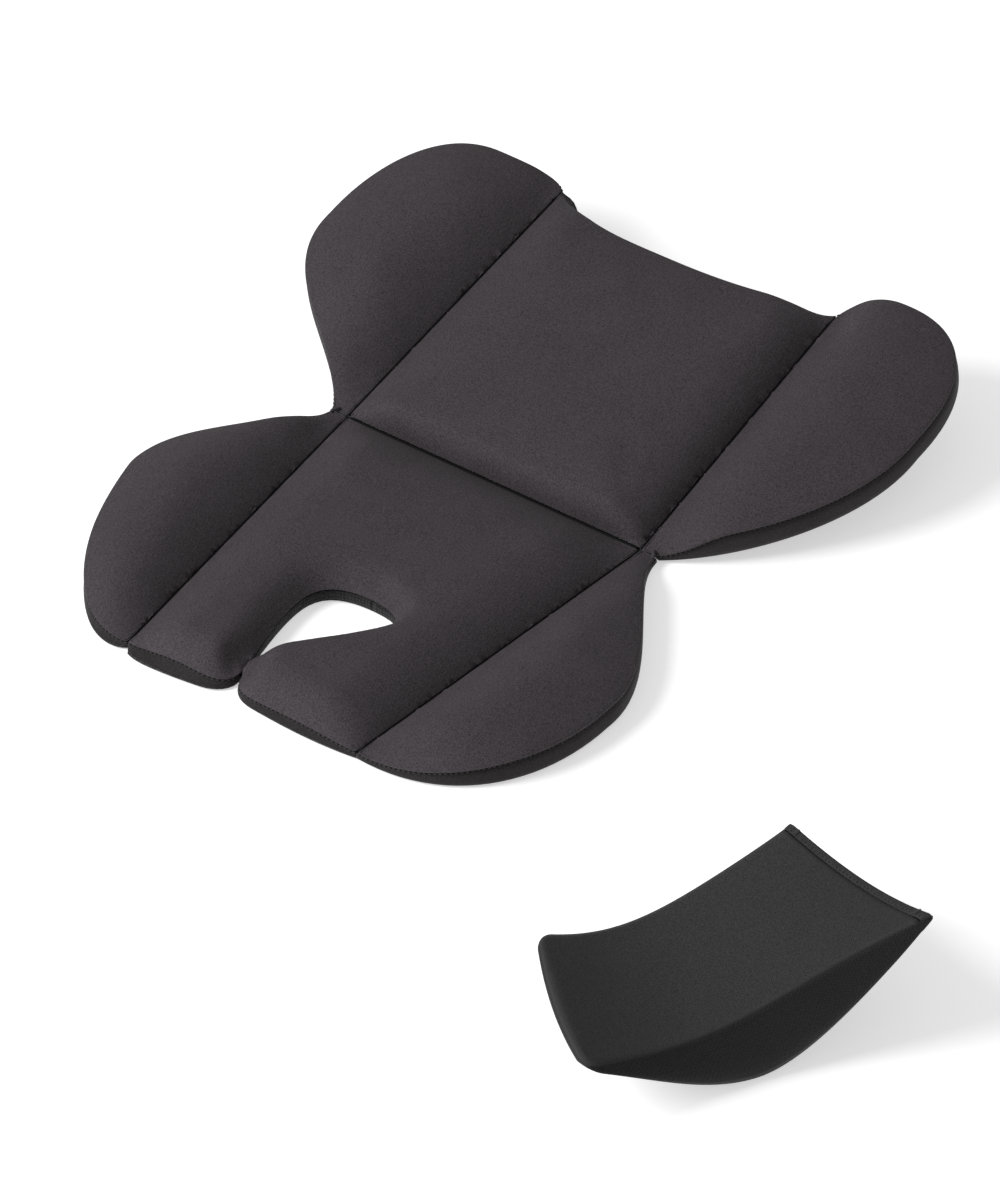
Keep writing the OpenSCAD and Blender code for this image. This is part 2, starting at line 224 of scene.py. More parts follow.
def slot_edges():
    """The slot's edge: its left side and rear end, then its right side.

    The right half's padding swells a little way into the slot."""
    mouth = np.array([SLIT_HALF_W, SLIT_Y])
    wide = np.array([SLOT_HALF_W, SLOT_REAR_Y - 24 * MM])
    rear = np.array([0, SLOT_REAR_Y])
    upright = joined(
        cubic(mouth, mouth + point(4, 14), wide - point(3, 24), wide),
        cubic(wide, wide + point(2, 17), rear + point(23, 0), rear),
    )
    sides = []
    for side in (upright * [-1, 1], upright[::-1]):
        rise = (side[:, 1] - SLIT_Y) / (SLOT_REAR_Y - SLIT_Y)
        lean = SLIT_X + rise * (SLOT_X - SLIT_X)
        sides.append(np.column_stack([side[:, 0] + lean, side[:, 1]]))
    right = sides[1]
    swell = np.sin(math.pi * np.linspace(0, 1, len(right)) ** 3) ** 1.1
    right[:, 0] -= SLOT_SWELL * swell
    return sides


# ---- cells ----
# A cell is a padded pocket: a domed cover on top, a lining below, padding between
# them, and an edge band (gusset) on its open side. Fold edges lie on the seams.

STEP = 5 * MM  # distance between mesh points
COVER_T = 1.2 * MM
LINING_T = 1.0 * MM
BAND_T = 1.0 * MM
BAND_RISE = 50 * MM  # the edge band narrows to nothing over this length
FRONT_RISE = 120 * MM  # and over this length at a hip wing's front end
LIP = 3.4 * MM  # a cover rolls this far down to the seam of an open edge
FOLD_LIP = 0.7 * MM  # and this far down to a fold line
CREASE = 1.1 * MM  # the seam of an open edge lies this far in
FOLD_CREASE = 0.9 * MM
OPEN_RISE = 6 * MM  # an edge this far above the seams is fully open
SLOT_OPENNESS = 0.6  # and the slot's edge counts as partly open
FOLD_GAP = 0.8 * MM  # a cover stops this far short of a fold line
WAIST_GAP = 1.5 * MM  # and this far short of the waist seam
LIP_ROWS = 5  # rows of mesh points round a rolled lip
SLOT_SEAM = WALL_TOP - 2 * MM  # the slot's seam at the front
SLOT_HIGH = WALL_TOP + 2 * MM  # at the slot's rear end
LINING_EDGE = 1.2 * MM  # height of the lining's outer edge
LINING_SEAM = SEAM_H - 1.6 * MM
PADDING_INSET = 3 * MM  # from a cell's outline to its foam
PADDING_GAP = 1 * MM  # between the foam and the lining
PADDING_ROOM = 3 * MM  # between the foam and the cover, which sags where it gathers
PADDING_MIN_T = 0.5 * MM
BAND_STEP = 3 * MM  # distance between mesh points along an edge band
BAND_LEVELS = 11  # rows of mesh points up an edge band
BAND_BULGE = 1.6 * MM
SLOT_BULGE = 0.8 * MM


class Edge:
    """One stretch of a cell's outline: a fold, a neck, an open edge or the slot."""

    def __init__(self, kind, path, roll, steep=2.0, **shape):
        self.kind = kind
        self.path = path
        self.roll = roll  # the cover rises over this distance from the edge
        self.steep = steep  # how sharply it rises at first
        self.ends = shape.get("ends", (SEAM_H, SEAM_H))  # heights of the edge's two ends
        self.rises = shape.get("rises", (BAND_RISE, BAND_RISE))  # its full height is reached here
        self.full = shape.get("full", BAND_TOP)
        self.gap = shape.get("gap", FOLD_GAP)  # from a fold line to the cover
        self.foot = shape.get("foot", 0)  # the band's foot spreads this far
        self.foot_skew = shape.get("foot_skew", 1)  # below 1: mostly near the start

    def top(self, points):
        """Heights of the cover's edge at points along the path."""
        if self.kind in ("fold", "neck"):
            return np.full(len(points), SEAM_H)
        run = np.concatenate([[0], np.cumsum(np.linalg.norm(np.diff(points, axis=0), axis=1))])
        top = np.full(len(points), self.full)
        for height, rise, distance in zip(self.ends, self.rises, (run, run[-1] - run)):
            share = smooth(np.clip(distance / min(rise, run[-1] / 2), 0, 1))
            top += (height - self.full) * (1 - share)
        return top

    def spread_foot(self, points):
        """How far the band's foot spreads outwards at points along the path."""
        share = np.linspace(0, 1, len(points)) ** self.foot_skew
        return self.foot * np.sin(math.pi * share) ** 0.8

    def bottom(self, points):
        """Heights of the lining's edge at points along the path."""
        low = LINING_SEAM if self.kind in ("fold", "neck") else LINING_EDGE
        return np.full(len(points), low)

    def openness(self, points):
        """0 where the cover runs into a seam line, up to 1 where it meets a full band."""
        if self.kind == "open":
            return openness_at(self.top(points))
        return np.full(len(points), SLOT_OPENNESS if self.kind == "slot" else 0.0)

    def cover_gap(self, points):
        return np.full(len(points), self.gap if self.kind == "fold" else 0.0)


def openness_at(height):
    return np.clip((height - SEAM_H) / OPEN_RISE, 0, 1)


def crease_at(openness):
    """How far in the seam lies, at a fold line and at an open edge."""
    return FOLD_CREASE + (CREASE - FOLD_CREASE) * openness


def smooth(t):
    return t * t * (3 - 2 * t)


def distances(points, path):
    """Distance of each plan point from a path."""
    a, b = path[:-1], path[1:]
    along = b - a
    t = np.einsum("nmk,mk->nm", points[:, None] - a, along) / np.maximum((along**2).sum(1), 1e-12)
    foot = a + np.clip(t, 0, 1)[..., None] * along
    return np.linalg.norm(points[:, None] - foot, axis=2).min(1)


def inside(points, loop):
    """Which plan points lie inside a closed outline."""
    x, y = points[:, 0][:, None], points[:, 1][:, None]
    x0, y0 = loop[:, 0], loop[:, 1]
    x1, y1 = np.roll(x0, -1), np.roll(y0, -1)
    spans = (y0 > y) != (y1 > y)
    slope = (x1 - x0) / np.where(y1 == y0, 1, y1 - y0)
    return (spans & (x < x0 + slope * (y - y0))).sum(1) % 2 == 1


class Cell:
    """A cell's plan mesh and its heights, in its panel's own coordinates."""

    def __init__(self, name, panel, body, edges, height):
        self.name = name
        self.panel = panel
        self.body = body
        self.edges = edges
        self.height = height
        self.matrix = panel_matrix(panel)
        self.rim = self.along_rim(lambda edge, points: points)
        self.rim_top = self.along_rim(Edge.top)
        self.rim_bottom = self.along_rim(Edge.bottom)
        self.rim_foot = self.along_rim(Edge.spread_foot)
        self.rim_gap = self.along_rim(Edge.cover_gap)
        self.openness = self.along_rim(Edge.openness)
        self.rim_lip = FOLD_LIP + (LIP - FOLD_LIP) * self.openness
        self.plan, self.faces = self.triangles()

    def along_rim(self, value):
        """What value gives for every edge and its points, joined round the rim."""
        paths = [resampled(edge.path, STEP) for edge in self.edges]
        return np.concatenate([value(edge, path)[:-1] for edge, path in zip(self.edges, paths)])

    def triangles(self):
        """Plan points, the rim first, and the triangles between them."""
        low, high = self.rim.min(0), self.rim.max(0)
        row = STEP * math.sqrt(3) / 2
        grid = [
            (x + (k % 2) * STEP / 2, y)
            for k, y in enumerate(np.arange(low[1], high[1], row))
            for x in np.arange(low[0], high[0], STEP)
        ]
        grid = np.array(grid)
        grid = grid[inside(grid, self.rim)]
        loop = np.vstack([self.rim, self.rim[:1]])
        grid = grid[distances(grid, loop) > 0.62 * STEP]
        points = np.vstack([self.rim, grid])
        count = len(self.rim)
        ring = [(i, (i + 1) % count) for i in range(count)]
        made = delaunay_2d_cdt([Vector(p) for p in points], ring, [], 0, 1e-7)
        plan = np.array([tuple(v) for v in made[0]])
        faces = np.array(made[2])
        middles = plan[faces].mean(1)
        return plan, faces[inside(middles, self.rim)]

    def gain(self, points, scale=1.0):
        """0 at the cell's edges and 1 where the padding is at its full height."""
        total = np.ones(len(points))
        for edge in self.edges:
            near = np.clip(distances(points, edge.path) / (edge.roll * scale), 0, 1)
            total *= 1 - (1 - near) ** edge.steep
        return total

    def spread(self, points, rim_values):
        """Values at the rim, carried smoothly over the plan."""
        away = np.linalg.norm(points[:, None] - self.rim, axis=2)
        weight = 1 / np.maximum(away, 0.1 * MM) ** 3
        return (weight * rim_values).sum(1) / weight.sum(1)

    def top(self, points):
        base = self.spread(points, self.rim_top + self.rim_lip)
        return base + (self.height - base) * self.gain(points)

    def bottom(self, points):
        base = self.spread(points, self.rim_bottom)
        return base * (1 - self.gain(points, 0.5))


def back_cell():
    right = np.array([WAIST_CORNER, head_corner("right")])
    left = mirrored(np.array([WAIST_CORNER, head_corner("left")]))
    waist = np.array([WAIST_CORNER * [-1, 1], WAIST_CORNER])
    edges = [
        Edge("fold", right, 34 * MM, steep=1.8),
        Edge("open", head_edge(), 30 * MM, foot=6 * MM, foot_skew=12),
        Edge("fold", left, 38 * MM, steep=1.6),
        Edge("fold", waist, 16 * MM, steep=2.2, gap=WAIST_GAP),
    ]
    return Cell("back", "back", "back", edges, CENTRE_TOP)


def seat_cell():
    waist = np.array([WAIST_CORNER, WAIST_CORNER * [-1, 1]])
    seam = np.array([FRONT_CORNER, WAIST_CORNER])
    left_front = mirrored(front_half(-SLIT_X))
    left_slot, right_slot = slot_edges()
    left_band = {"ends": (SEAM_H, SLOT_SEAM), "full": 9 * MM, "foot": 7.5 * MM, "foot_skew": 0.5}
    right_band = {"ends": (SLOT_SEAM, SEAM_H), "full": 7 * MM, "foot": 3.5 * MM, "foot_skew": 1.3}
    edges = [
        Edge("fold", waist, 54 * MM, steep=1.9, gap=WAIST_GAP),
        Edge("fold", mirrored(seam), 38 * MM, steep=1.6),
        Edge("open", left_front, 24 * MM, steep=2.2, **left_band),
        Edge("slot", left_slot, 22 * MM, ends=(SLOT_SEAM, SLOT_HIGH), full=SLOT_HIGH),
        Edge("slot", right_slot, 15 * MM, steep=2.2, ends=(SLOT_HIGH, SLOT_SEAM), full=SLOT_SEAM),
        Edge("open", front_half(SLIT_X), 26 * MM, steep=2.2, **right_band),
        Edge("fold", seam, 40 * MM, steep=1.6),
    ]
    return Cell("seat", "seat", "seat", edges, CENTRE_TOP)


def wing_cell(name, panel, sections):
    """A wing on the left or the right; sections are drawn on the right.

    The right shoulder lies a little higher, and the left hip's band spreads at its end."""
    rolls = {"fold": (58 * MM, 1.8), "open": (50 * MM, 1.8), "neck": (50 * MM, 2.0)}
    if name.startswith("left"):
        sections = [(kind, mirrored(path)) for kind, path in reversed(sections)]
    rises = [BAND_RISE, BAND_RISE]
    if panel == "seat":
        front = 0 if name.startswith("right") else 1
        rises[front] = FRONT_RISE
    shape = {"rises": rises}
    if name == "right_shoulder":
        shape["full"] = BAND_TOP + 3 * MM
    if name == "left_hip":
        shape.update(foot=4 * MM, foot_skew=14)
    edges = [Edge(kind, path, *rolls[kind], **shape) for kind, path in sections]
    return Cell(name, panel, name + "_wing", edges, WING_TOP)


def wing_cells():
    cells = []
    for side in ("left", "right"):
        shoulder_outer, hip_outer = shoulder_edge(side), hip_edge(side)
        shoulder = [
            ("neck", np.array([WAIST_CORNER, shoulder_outer[0]])),
            ("open", shoulder_outer),
            ("fold", np.array([head_corner(side), WAIST_CORNER])),
        ]
        hip = [
            ("fold", np.array([WAIST_CORNER, FRONT_CORNER])),
            ("open", hip_outer),
            ("neck", np.array([hip_outer[-1], WAIST_CORNER])),
        ]
        cells.append(wing_cell(side + "_shoulder", "back", shoulder))
        cells.append(wing_cell(side + "_hip", "seat", hip))
    return cells


# ---- materials ----


class Shader:
    """A material's nodes, added one call at a time."""

    def __init__(self, name):
        self.material = bpy.data.materials.new(name)
        self.material.use_nodes = True
        self.tree = self.material.node_tree
        self.bsdf = self.tree.nodes["Principled BSDF"]
        self.place = self.add("ShaderNodeTexCoord").outputs["Object"]

    def add(self, kind, inputs=(), **settings):
        """A node with its settings, and its inputs set to values or linked to sockets."""
        node = self.tree.nodes.new(kind)
        for key, value in settings.items():
            setattr(node, key, value)
        for key, value in dict(inputs).items():
            self.put(node.inputs[key], value)
        return node

    def put(self, socket, value):
        if isinstance(value, bpy.types.NodeSocket):
            self.tree.links.new(value, socket)
        else:
            socket.default_value = value

    def times(self, first, second):
        return self.add("ShaderNodeMath", {0: first, 1: second}, operation="MULTIPLY").outputs[0]

    def plus(self, first, *others):
        for other in others:
            first = self.add("ShaderNodeMath", {0: first, 1: other}, operation="ADD").outputs[0]
        return first

    def noise(self, size, detail=2.0):
        """Smooth noise whose spots are about size metres wide."""
        inputs = {"Vector": self.place, "Scale": 1 / size, "Detail": detail}
        return self.add("ShaderNodeTexNoise", inputs).outputs["Fac"]

    def ribs(self, pitch, turn):
        """Parallel ribs with a pitch in metres, turned about the z axis."""
        turned = {"Vector": self.place, "Rotation": (0, 0, math.radians(turn))}
        vector = self.add("ShaderNodeMapping", turned).outputs[0]
        inputs = {
            "Vector": vector, "Scale": math.pi / (10 * pitch), "Distortion": 1.2, "Detail": 1.0,
            "Detail Scale": 2.0,
        }
        return self.add("ShaderNodeTexWave", inputs, wave_type="BANDS").outputs["Fac"]

    def cells(self, pitch):
        """Distance from the middles of small cells, for open mesh."""
        inputs = {"Vector": self.place, "Scale": 1 / pitch, "Randomness": 0.35}
        return self.add("ShaderNodeTexVoronoi", inputs).outputs["Distance"]

    def ramp(self, factor, low, high):
        """A number squeezed so that low gives 0 and high gives 1."""
        inputs = {"Value": factor, "From Min": low, "From Max": high}
        return self.add("ShaderNodeMapRange", inputs).outputs[0]

    def mix(self, factor, first, second):
        inputs = {"Factor": factor, 6: (*first, 1), 7: (*second, 1)}
        return self.add("ShaderNodeMix", inputs, data_type="RGBA").outputs[2]

    def finish(self, color, height, relief, **values):
        """Wires colour and relief, relief in metres, and sets the surface's other values."""
        bump = self.add("ShaderNodeBump", {"Height": height, "Distance": relief, "Strength": 1.0})
        self.put(self.bsdf.inputs["Normal"], bump.outputs[0])
        self.put(self.bsdf.inputs["Base Color"], color)
        for key, value in values.items():
            self.put(self.bsdf.inputs[key.replace("_", " ")], value)
        return self.material


def scaled(color, factor):
    return tuple(channel * factor for channel in color)


LINT_SIZE = 1.0 * MM
LINT_SHARE = 1.1
DYE_SIZE = 28 * MM  # broad patches of slightly uneven dye
MOTTLE = 0.44  # how much those patches show


def woven(name, color, pitch, relief, sheen, turns=(45, -45), contrast=0.35):
    """Fabric of two crossing sets of yarns, with uneven dye, lint and a soft nap."""
    shader = Shader(name)
    first, second = (shader.ribs(pitch, turn) for turn in turns)
    weave = shader.times(first, second)
    lint = shader.ramp(shader.noise(LINT_SIZE, 3.0), 0.34, 0.66)
    dye = shader.noise(DYE_SIZE, 3.0)
    wear = shader.add("ShaderNodeNewGeometry").outputs["Pointiness"]
    uneven = shader.plus(shader.times(lint, LINT_SHARE), shader.times(dye, MOTTLE))
    tone = shader.plus(shader.times(weave, contrast), uneven, shader.ramp(wear, 0.52, 0.62))
    dark, light = scaled(color, 0.62), scaled(color, 1.42)
    shade = shader.mix(shader.ramp(tone, 0.25, 1.35), dark, light)
    height = shader.plus(weave, shader.times(lint, 0.3))
    return shader.finish(
        shade, height, relief,
        Roughness=shader.ramp(dye, -1.5, 1.2), Specular_IOR_Level=0.15,
        Sheen_Weight=sheen, Sheen_Roughness=0.45, Sheen_Tint=(1.0, 0.97, 0.97, 1),
    )


def open_mesh(name, color, pitch, relief, hole=0.34):
    """Knitted mesh: small holes between thicker strands."""
    shader = Shader(name)
    strand = shader.ramp(shader.cells(pitch), hole, hole + 0.22)
    lint = shader.noise(0.7 * MM, 2.0)
    dye = shader.noise(30 * MM, 2.0)
    tone = shader.times(strand, shader.plus(lint, dye))
    shade = shader.mix(shader.ramp(tone, 0.1, 1.2), scaled(color, 0.45), scaled(color, 1.5))
    height = shader.plus(strand, shader.times(lint, 0.4))
    return shader.finish(
        shade, height, relief, Roughness=0.75, Specular_IOR_Level=0.3,
        Sheen_Weight=0.05, Sheen_Roughness=0.5,
    )


def porous_foam(name, color):
    """Pale foam with fine open pores."""
    shader = Shader(name)
    pores = shader.ramp(shader.cells(1.4 * MM), 0.1, 0.55)
    broad = shader.noise(20 * MM)
    shade = shader.mix(shader.times(pores, broad), scaled(color, 0.9), color)
    return shader.finish(shade, pores, 0.3 * MM, Roughness=0.95, Specular_IOR_Level=0.1)


def spun(name, color, pitch):
    """Twisted thread or dense tape."""
    shader = Shader(name)
    twist = shader.ribs(pitch, 30)
    lint = shader.noise(0.6 * MM, 3.0)
    tone = shader.times(twist, lint)
    shade = shader.mix(shader.ramp(tone, 0.0, 0.7), scaled(color, 0.5), scaled(color, 1.5))
    return shader.finish(
        shade, tone, 0.15 * MM, Roughness=0.6, Specular_IOR_Level=0.35, Sheen_Weight=0.2,
    )


COVER_COLOR = (0.0480, 0.0412, 0.0458)
GUSSET_COLOR = (0.0175, 0.0152, 0.0162)
WEDGE_COLOR = (0.0280, 0.0270, 0.0276)
FINISHES = {
    "cover_fabric": (woven, COVER_COLOR, 0.9 * MM, 0.10 * MM, 0.02),
    "gusset_fabric": (woven, GUSSET_COLOR, 0.8 * MM, 0.08 * MM, 0.08),
    # seam cords: near black, far darker than the cover fabric, as painted shade in the gaps along the
    # seams
    "seam_fabric": (woven, (0.0025, 0.0022, 0.0023), 0.8 * MM, 0.10 * MM, 0),
    "wedge_fabric": (woven, WEDGE_COLOR, 1.3 * MM, 0.12 * MM, 0.02, (62, -20), 0.5),
    "lining_mesh": (open_mesh, (0.030, 0.028, 0.030), 2.2 * MM, 0.25 * MM),
    "slot_mesh": (open_mesh, (0.0065, 0.0056, 0.0065), 2.4 * MM, 0.5 * MM, 0.28),
    "wedge_mesh": (open_mesh, (0.0085, 0.0072, 0.0083), 1.5 * MM, 0.15 * MM),
    "foam": (porous_foam, (0.72, 0.71, 0.67)),
    "closing_tape": (spun, (0.015, 0.015, 0.015), 0.8 * MM),
    "thread": (spun, (0.004, 0.004, 0.004), 0.5 * MM),
}
MATERIALS = {slot: make(slot, *values) for slot, (make, *values) in FINISHES.items()}

# ---- cloth ----
CLOTH_FRAMES = 20
CLOTH_PRESSURE = 0.9  # the padding pushes the cover up
CLOTH_SLACK = 0.012  # share of extra fabric beside the seams, where it gathers
CLOTH_GATHER = 14 * MM  # how far from the rim the extra fabric reaches
CLOTH_CAP = 3.0 * MM  # the furthest that a point may move
EVENING_ROUNDS = 3
FABRIC = {
    "vertex_group_mass": "rim", "vertex_group_shrink": "gather",
    "shrink_min": 0, "shrink_max": -CLOTH_SLACK,
    "use_pressure": True, "uniform_pressure_force": CLOTH_PRESSURE,
    "quality": 8, "mass": 0.2, "tension_stiffness": 15, "compression_stiffness": 10,
    "shear_stiffness": 5, "bending_stiffness": 1.5,
}


def add_cloth(obj, pinned):
    """Gives a cover sheet cloth physics, held along its rim."""
    group = obj.vertex_groups.new(name="rim")
    group.add([int(i) for i in pinned], 1.0, "REPLACE")
    plan = np.array([v.co[:2] for v in obj.data.vertices])
    away = np.linalg.norm(plan[:, None] - plan[pinned], axis=2).min(1)
    gather = obj.vertex_groups.new(name="gather")
    for i, share in enumerate(np.clip(1 - away / CLOTH_GATHER, 0, 1)):
        gather.add([i], float(share), "REPLACE")
    modifier = obj.modifiers.new("cloth", "CLOTH")
    for key, value in FABRIC.items():
        setattr(modifier.settings, key, value)
    modifier.settings.effector_weights.gravity = 0
    modifier.point_cache.frame_start = 1
    modifier.point_cache.frame_end = CLOTH_FRAMES


def evened(sheet, move, held):
    """Each point's move averaged with its neighbours', so that no point stands alone."""
    edges = np.array([edge.vertices[:] for edge in sheet.data.edges])
    ends = np.concatenate([edges, edges[:, ::-1]])
    count = np.bincount(ends[:, 0], minlength=len(move))[:, None]
    for _ in range(EVENING_ROUNDS):
        total = np.zeros_like(move)
        np.add.at(total, ends[:, 0], move[ends[:, 1]])
        move = (move + total / np.maximum(count, 1)) / 2
        move[held] = 0
    return move


def settle(sheets):
    """Lets sheets swell over their padding, and keeps what the cloth did.

    Each sheet comes with the indices of its held points."""
    for sheet, held in sheets:
        add_cloth(sheet, held)
    scene = bpy.context.scene
    for step in range(1, CLOTH_FRAMES + 1):
        scene.frame_set(step)
    graph = bpy.context.evaluated_depsgraph_get()
    for sheet, held in sheets:
        swollen = sheet.evaluated_get(graph).to_mesh()
        after = np.zeros(len(swollen.vertices) * 3)
        swollen.vertices.foreach_get("co", after)
        before = np.zeros(len(after))
        sheet.data.vertices.foreach_get("co", before)
        move = (after - before).reshape(-1, 3)
        length = np.linalg.norm(move, axis=1)[:, None]
        move *= CLOTH_CAP * np.tanh(length / CLOTH_CAP) / np.maximum(length, 1e-9)
        move = evened(sheet, move, held)
        sheet.modifiers.clear()
        sheet.data.vertices.foreach_set("co", before + move.ravel())
    scene.frame_set(1)


# ---- mesh pieces ----


def add_object(name, points, faces):
    mesh = bpy.data.meshes.new(name)
    mesh.from_pydata([tuple(p) for p in points], [], [tuple(map(int, f)) for f in faces])
    mesh.validate()
    mesh.update()
    for polygon in mesh.polygons:
        polygon.use_smooth = True
    obj = bpy.data.objects.new(name, mesh)
    bpy.context.scene.collection.objects.link(obj)
    return obj


def place_pieces(parts, body, matrix):
    """Puts pieces in place on a body, each with its finish, and hides the CAD node that each stands
    for.
    """
    for piece, slot, node in parts:
        piece.data.transform(matrix)
        piece.data.materials.clear()
        piece.data.materials.append(MATERIALS[slot])
        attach(piece, body)
        if node:
            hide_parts(node)


def thicken(obj, thickness, subdivide=0):
    """Turns a sheet into a closed one, growing away from its outer face."""
    if subdivide:
        obj.modifiers.new("smooth", "SUBSURF").levels = subdivide
    solid = obj.modifiers.new("thickness", "SOLIDIFY")
    solid.thickness = thickness
    solid.offset = -1
    solid.use_even_offset = False
    graph = bpy.context.evaluated_depsgraph_get()
    mesh = bpy.data.meshes.new_from_object(obj.evaluated_get(graph))
    obj.modifiers.clear()
    obj.data = mesh


def cover_sheet(cell):
    """The cell's domed top fabric, as a sheet that rolls down to its seams.

    Returns the sheet and the points that the seams hold."""
    count = len(cell.rim)
    out = rim_normals(cell.rim)
    rim = cell.rim - out * cell.rim_gap[:, None]
    rows = [np.column_stack([np.vstack([rim, cell.plan[count:]]), cell.top(cell.plan)])]
    faces = [tuple(face) for face in cell.faces]
    bulge = 0.5 * (cell.rim_lip - FOLD_LIP)
    crease = crease_at(cell.openness)
    before = np.arange(count)
    for k in range(1, LIP_ROWS + 1):
        share = k / LIP_ROWS
        side = bulge * math.sin(math.pi * share) - crease * share**3
        height = cell.rim_top + cell.rim_lip * (1 + math.cos(math.pi * share)) / 2
        rows.append(np.column_stack([rim + out * side[:, None], height]))
        row = len(cell.plan) + (k - 1) * count + np.arange(count)
        faces += list(zip(before, row, np.roll(row, -1), np.roll(before, -1)))
        before = row
    points = np.vstack(rows)
    held = np.concatenate([np.arange(count), np.arange(len(cell.plan), len(points))])
    return add_object(cell.name + "_cover", points, faces), held


def lining_sheet(cell):
    """The cell's lining: it rests on the floor and rises to the seams."""
    plan = cell.plan.copy()
    plan[:len(cell.rim)] += rim_normals(cell.rim) * cell.rim_foot[:, None]
    points = np.column_stack([plan, cell.bottom(cell.plan)])
    return add_object(cell.name + "_lining", points, cell.faces[:, ::-1])


def rightward(along):
    """Plan directions to the right of the directions given."""
    return unit(np.column_stack([along[:, 1], -along[:, 0]]))


def rim_normals(loop):
    """Outward plan directions at the points of a closed outline, walked anticlockwise."""
    return rightward(np.roll(loop, -1, 0) - np.roll(loop, 1, 0))


def path_normals(path):
    """Plan directions to the right of an open path."""
    return rightward(np.gradient(path, axis=0))


def solid_between(name, high, low, faces, rim):
    """A closed solid between two layers of points with the same faces and the same rim."""
    count = len(high)
    upper = [tuple(face) for face in faces]
    lower = [tuple(k + count for k in face[::-1]) for face in upper]
    walls = [(b, a, a + count, b + count) for a, b in zip(rim, rim[1:] + rim[:1])]
    return add_object(name, np.vstack([high, low]), upper + lower + walls)


def padding_solid(cell):
    """The foam in the cell: the same plan, drawn in from the rim."""
    plan = cell.plan.copy()
    rim = len(cell.rim)
    plan[:rim] -= PADDING_INSET * rim_normals(cell.rim)
    low = cell.bottom(plan) + PADDING_GAP
    high = np.maximum(cell.top(plan) - COVER_T - PADDING_ROOM, low + PADDING_MIN_T)
    layers = [np.column_stack([plan, height]) for height in (high, low)]
    return solid_between(cell.name + "_padding", *layers, cell.faces, list(range(rim)))


def grid_faces(rows, count, closed=False, base=0):
    """Faces between rows of count points. Closed rows are rings, and their ends are capped."""
    faces = []
    for r in range(rows - 1):
        low, high = base + r * count, base + (r + 1) * count
        for i in range(count if closed else count - 1):
            j = (i + 1) % count
            faces.append((low + i, low + j, high + j, high + i))
    if closed:
        last = base + (rows - 1) * count
        faces += [tuple(range(base, base + count))[::-1], tuple(range(last, last + count))]
    return faces


def strip(name, rows, closed=False):
    """A sheet through rows of points, each row as long as the others."""
    rows = np.array(rows)
    return add_object(name, rows.reshape(-1, 3), grid_faces(*rows.shape[:2], closed))


def edge_band(name, edge, bulge):
    """The band that closes a cell's open side, from the lining up to the cover."""
    path = resampled(edge.path, BAND_STEP)
    top = edge.top(path)
    low = edge.bottom(path)
    out = path_normals(path)
    foot = edge.spread_foot(path)
    crease = crease_at(openness_at(top))
    rows = []
    for t in np.linspace(0, 1, BAND_LEVELS):
        swell = bulge * (top - low) / BAND_TOP * (1 - (2 * t - 1) ** 4)
        side = swell + foot * (1 - t) ** 1.5 - crease * t**6
        rows.append(np.column_stack([path + out * side[:, None], low + (top - low) * t]))
    return strip(name, rows)


def ring_of(across, upward, sides):
    """Points of a circle of radius 1 about the origin."""
    turns = np.arange(sides) * 2 * math.pi / sides
    return np.outer(np.cos(turns), across) + np.outer(np.sin(turns), upward)


def tube(name, path, radii, sides=8):
    """A round cord along 3-D points, closed at both ends."""
    along = unit(np.gradient(path, axis=0))
    across = unit(np.cross(along, (0, 0, 1.0)))
    upward = np.cross(across, along)
    rings = [ring_of(a, b, sides) for a, b in zip(across, upward)]
    rows = [spot + radius * ring for spot, radius, ring in zip(path, radii, rings)]
    return closed_loft(name, rows)


def closed_loft(name, rows):
    """A closed solid through rings of points, with flat ends."""
    obj = strip(name, rows, closed=True)
    for polygon in obj.data.polygons:
        polygon.use_smooth = len(polygon.vertices) == 4
    return obj


STITCH_LEN = 2.3 * MM
STITCH_GAP = 1.1 * MM
STITCH_R = 0.5 * MM
STITCH_SIDES = 6
STITCH_OUT = 0.1 * MM  # stitches stand out from the seam by this much
STITCH_DOWN = 0.2 * MM  # and lie this far below it
# Places along a stitch, as a share of its length, with its width there
STITCH_SHAPE = [(-0.5, 0.25), (-0.35, 0.85), (0, 1.0), (0.35, 0.85), (0.5, 0.25)]


def stitches(name, path):
    """A row of stitches along 3-D points: short round threads with gaps between them."""
    spots = resampled(path, STITCH_LEN + STITCH_GAP)
    middles = (spots[:-1] + spots[1:]) / 2
    along = unit(np.diff(spots, axis=0))
    points, faces = [], []
    for spot, forward, side in zip(middles, along, unit(np.cross(along, (0, 0, 1.0)))):
        spokes = ring_of(side, np.cross(side, forward), STITCH_SIDES)
        faces += grid_faces(len(STITCH_SHAPE), STITCH_SIDES, True, len(points))
        for share, width in STITCH_SHAPE:
            points += list(spot + forward * share * STITCH_LEN + STITCH_R * width * spokes)
    return add_object(name, points, faces)


def band_seam(edge):
    """The line beside which a cell's cover is stitched to its edge band, in 3-D."""
    path = resampled(edge.path, BAND_STEP)
    place = path + path_normals(path) * STITCH_OUT
    return np.column_stack([place, edge.top(path) - STITCH_DOWN])


# Where these differ from the others: the head end's band takes the lighter cover fabric instead of the
# gusset's, as painted light on a band that faces away from the key light
PAINTED_LIGHT_BAND_SLOTS = {"back": "cover_fabric"}
BAND_NODES = {"back": "back_head_gusset", "seat": "seat_front_gusset"}


